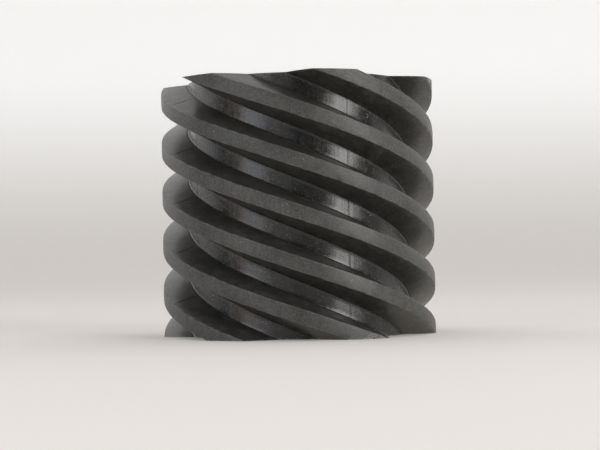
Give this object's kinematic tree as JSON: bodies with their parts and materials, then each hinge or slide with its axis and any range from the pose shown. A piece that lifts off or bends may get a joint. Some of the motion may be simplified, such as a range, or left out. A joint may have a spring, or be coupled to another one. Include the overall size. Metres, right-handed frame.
{
  "type": "worm",
  "caption": "Multi-start left-hand worm moulded in one piece, with a keyed through bore and flat end faces.",
  "frame": {"origin": "centre of the bore in the lower end face", "axes": "+Z along the bore axis, from the lower end face to the upper one; -Y is the side seen in the source view, +X to its right"},
  "size_m": [0.0544, 0.0544, 0.0503],
  "materials": {
    "black_plastic": "moulded, matte on the thread crests and glossy on the groove floors"
  },
  "bodies": {
    "root": {"worm": "black_plastic"}
  },
  "joints": []
}
